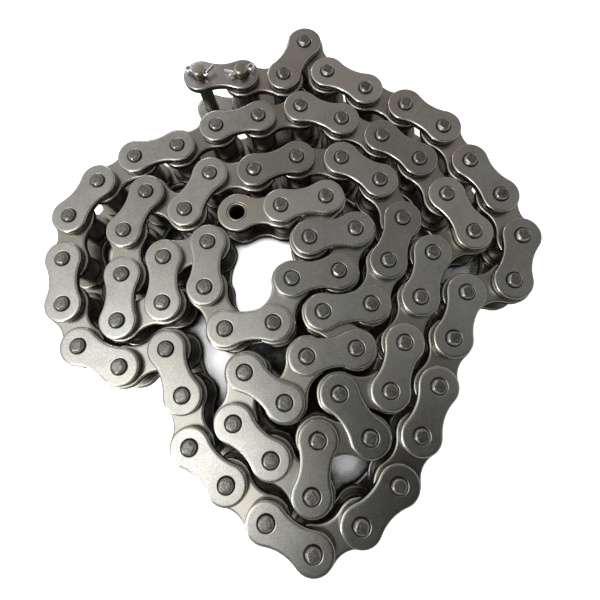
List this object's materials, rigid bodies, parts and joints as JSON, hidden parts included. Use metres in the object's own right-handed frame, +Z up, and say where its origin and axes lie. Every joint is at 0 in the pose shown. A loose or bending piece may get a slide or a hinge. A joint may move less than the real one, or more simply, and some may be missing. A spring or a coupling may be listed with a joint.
{
  "type": "motorcycle drive chain",
  "caption": "Motorcycle roller drive chain with a cottered connecting link, lying on its side in a loose coil; its outer end swings on its pins.",
  "frame": {"origin": "middle of the bottom of the whole coil's box, on the surface that the pin ends stand on", "axes": "+Z up, along every pin; +X from the free end of the connecting link to its joined end; +Y from the foot of the coil towards the connecting link"},
  "size_m": [0.1698, 0.189, 0.0236],
  "materials": {
    "outer_plate": "shot-peened matt steel, fine grain, bright on the rounded edges",
    "inner_plate": "oiled matt steel, slightly warmer than the outer plates",
    "cover_plate": "shot-peened matt steel, pressed on, not riveted",
    "pin": "hardened pin, dark rough riveted end",
    "connecting_pin": "hardened pin with a straw-coloured oil film on its shank",
    "bush": "dark ground steel",
    "roller": "dark oiled roller with bright glints",
    "cotter": "bright split cotter"
  },
  "bodies": {
    "coil": {"coil_links_17_to_19": "outer_plate", "coil_links_20_to_22": "outer_plate", "coil_links_23_to_25": "outer_plate", "coil_links_26_to_29": "outer_plate", "coil_links_30_to_32": "outer_plate", "coil_links_33_to_35": "outer_plate", "coil_links_36_to_38": "outer_plate", "coil_links_39_to_41": "outer_plate", "coil_links_42_to_44": "outer_plate", "coil_links_45_to_48": "outer_plate", "coil_links_49_to_51": "outer_plate", "coil_links_52_to_54": "outer_plate", "coil_links_55_to_57": "outer_plate", "coil_links_58_to_60": "outer_plate", "coil_links_61_to_63": "outer_plate", "coil_links_64_to_66": "outer_plate", "coil_links_67_to_70": "outer_plate", "coil_links_71_to_73": "outer_plate", "coil_links_74_to_76": "outer_plate", "coil_links_77_to_79": "outer_plate", "end_link_80_bottom_plate": "inner_plate", "end_link_80_top_plate": "inner_plate", "end_link_80_bush_a": "bush", "end_link_80_bush_b": "bush"},
    "connecting_link": {"connecting_back_plate": "outer_plate", "connecting_cover_plate": "cover_plate", "connecting_pin_free": "connecting_pin", "connecting_pin_joined": "connecting_pin", "cotter_free": "cotter", "cotter_joined": "cotter"},
    "inner_link_02": {"inner_link_02_bottom_plate": "inner_plate", "inner_link_02_top_plate": "inner_plate", "inner_link_02_bush_a": "bush", "inner_link_02_bush_b": "bush"},
    "inner_link_04": {"inner_link_04_bottom_plate": "inner_plate", "inner_link_04_top_plate": "inner_plate", "inner_link_04_bush_a": "bush", "inner_link_04_bush_b": "bush"},
    "outer_link_03": {"outer_link_03_bottom_plate": "outer_plate", "outer_link_03_top_plate": "outer_plate", "outer_link_03_pin_a": "pin", "outer_link_03_pin_b": "pin"},
    "outer_link_05": {"outer_link_05": "outer_plate"},
    "inner_link_06": {"inner_link_06": "inner_plate"},
    "outer_link_07": {"outer_link_07": "outer_plate"},
    "inner_link_08": {"inner_link_08": "inner_plate"},
    "outer_link_09": {"outer_link_09": "outer_plate"},
    "inner_link_10": {"inner_link_10": "inner_plate"},
    "outer_link_11": {"outer_link_11": "outer_plate"},
    "inner_link_12": {"inner_link_12": "inner_plate"},
    "outer_link_13": {"outer_link_13": "outer_plate"},
    "inner_link_14": {"inner_link_14": "inner_plate"},
    "outer_link_15": {"outer_link_15": "outer_plate"},
    "inner_link_16": {"inner_link_16": "inner_plate"},
    "inner_link_02_roller_a": {"inner_link_02_roller_a": "roller"},
    "inner_link_02_roller_b": {"inner_link_02_roller_b": "roller"},
    "inner_link_04_roller_a": {"inner_link_04_roller_a": "roller"},
    "inner_link_04_roller_b": {"inner_link_04_roller_b": "roller"},
    "end_link_80_roller_a": {"end_link_80_roller_a": "roller"},
    "end_link_80_roller_b": {"end_link_80_roller_b": "roller"}
  },
  "joints": [
    {"name": "hinge_01_02", "type": "hinge", "parent": "inner_link_02", "child": "connecting_link", "pos_m": [-0.01801, 0.07404, 0.011], "axis": [0, 0, 1], "range_deg": [-118, 30]},
    {"name": "hinge_02_03", "type": "hinge", "parent": "outer_link_03", "child": "inner_link_02", "pos_m": [-0.00214, 0.07348, 0.011], "axis": [0, 0, -1], "range_deg": [0, 57]},
    {"name": "hinge_03_04", "type": "hinge", "parent": "inner_link_04", "child": "outer_link_03", "pos_m": [0.00556, 0.08737, 0.011], "axis": [0, 0, 1], "range_deg": [-90, 0]},
    {"name": "hinge_04_05", "type": "hinge", "parent": "outer_link_05", "child": "inner_link_04", "pos_m": [0.0142, 0.07405, 0.011], "axis": [0, 0, -1], "range_deg": [0, 90]},
    {"name": "hinge_05_06", "type": "hinge", "parent": "inner_link_06", "child": "outer_link_05", "pos_m": [0.02809, 0.06636, 0.011], "axis": [0, 0, 1], "range_deg": [-55, 0]},
    {"name": "hinge_06_07", "type": "hinge", "parent": "outer_link_07", "child": "inner_link_06", "pos_m": [0.04223, 0.05915, 0.011], "axis": [0, 0, -1], "range_deg": [0, 55]},
    {"name": "hinge_07_08", "type": "hinge", "parent": "inner_link_08", "child": "outer_link_07", "pos_m": [0.05507, 0.04982, 0.011], "axis": [0, 0, 1], "range_deg": [-55, 0]},
    {"name": "hinge_08_09", "type": "hinge", "parent": "outer_link_09", "child": "inner_link_08", "pos_m": [0.06325, 0.03621, 0.011], "axis": [0, 0, -1], "range_deg": [0, 55]},
    {"name": "hinge_09_10", "type": "hinge", "parent": "inner_link_10", "child": "outer_link_09", "pos_m": [0.07236, 0.02321, 0.011], "axis": [0, 0, 1], "range_deg": [-55, 0]},
    {"name": "hinge_10_11", "type": "hinge", "parent": "outer_link_11", "child": "inner_link_10", "pos_m": [0.07779, 0.00829, 0.011], "axis": [0, 0, -1], "range_deg": [0, 55]},
    {"name": "hinge_11_12", "type": "hinge", "parent": "inner_link_12", "child": "outer_link_11", "pos_m": [0.07341, -0.00697, 0.011], "axis": [0, 0, 1], "range_deg": [-55, 0]},
    {"name": "hinge_12_13", "type": "hinge", "parent": "outer_link_13", "child": "inner_link_12", "pos_m": [0.05801, -0.01081, 0.011], "axis": [0, 0, -1], "range_deg": [0, 55]},
    {"name": "hinge_13_14", "type": "hinge", "parent": "inner_link_14", "child": "outer_link_13", "pos_m": [0.05258, -0.02573, 0.011], "axis": [0, 0, 1], "range_deg": [-55, 0]},
    {"name": "hinge_14_15", "type": "hinge", "parent": "outer_link_15", "child": "inner_link_14", "pos_m": [0.04689, -0.04055, 0.011], "axis": [0, 0, -1], "range_deg": [0, 55]},
    {"name": "hinge_15_16", "type": "hinge", "parent": "inner_link_16", "child": "outer_link_15", "pos_m": [0.04069, -0.05516, 0.011], "axis": [0, 0, 1], "range_deg": [-55, 0]},
    {"name": "hinge_16_17", "type": "hinge", "parent": "coil", "child": "inner_link_16", "pos_m": [0.03323, -0.06918, 0.011], "axis": [0, 0, -1], "range_deg": [0, 55]},
    {"name": "spin_link_02_roller_a", "type": "hinge", "parent": "inner_link_02", "child": "inner_link_02_roller_a", "pos_m": [-0.01801, 0.07404, 0.011], "axis": [0, 0, 1], "continuous": true},
    {"name": "spin_link_02_roller_b", "type": "hinge", "parent": "inner_link_02", "child": "inner_link_02_roller_b", "pos_m": [-0.00214, 0.07348, 0.011], "axis": [0, 0, 1], "continuous": true},
    {"name": "spin_link_04_roller_a", "type": "hinge", "parent": "inner_link_04", "child": "inner_link_04_roller_a", "pos_m": [0.00556, 0.08737, 0.011], "axis": [0, 0, 1], "continuous": true},
    {"name": "spin_link_04_roller_b", "type": "hinge", "parent": "inner_link_04", "child": "inner_link_04_roller_b", "pos_m": [0.0142, 0.07405, 0.011], "axis": [0, 0, 1], "continuous": true},
    {"name": "spin_link_80_roller_a", "type": "hinge", "parent": "coil", "child": "end_link_80_roller_a", "pos_m": [-0.00265, 0.02063, 0.011], "axis": [0, 0, 1], "continuous": true},
    {"name": "spin_link_80_roller_b", "type": "hinge", "parent": "coil", "child": "end_link_80_roller_b", "pos_m": [-0.01848, 0.01952, 0.011], "axis": [0, 0, 1], "continuous": true}
  ]
}
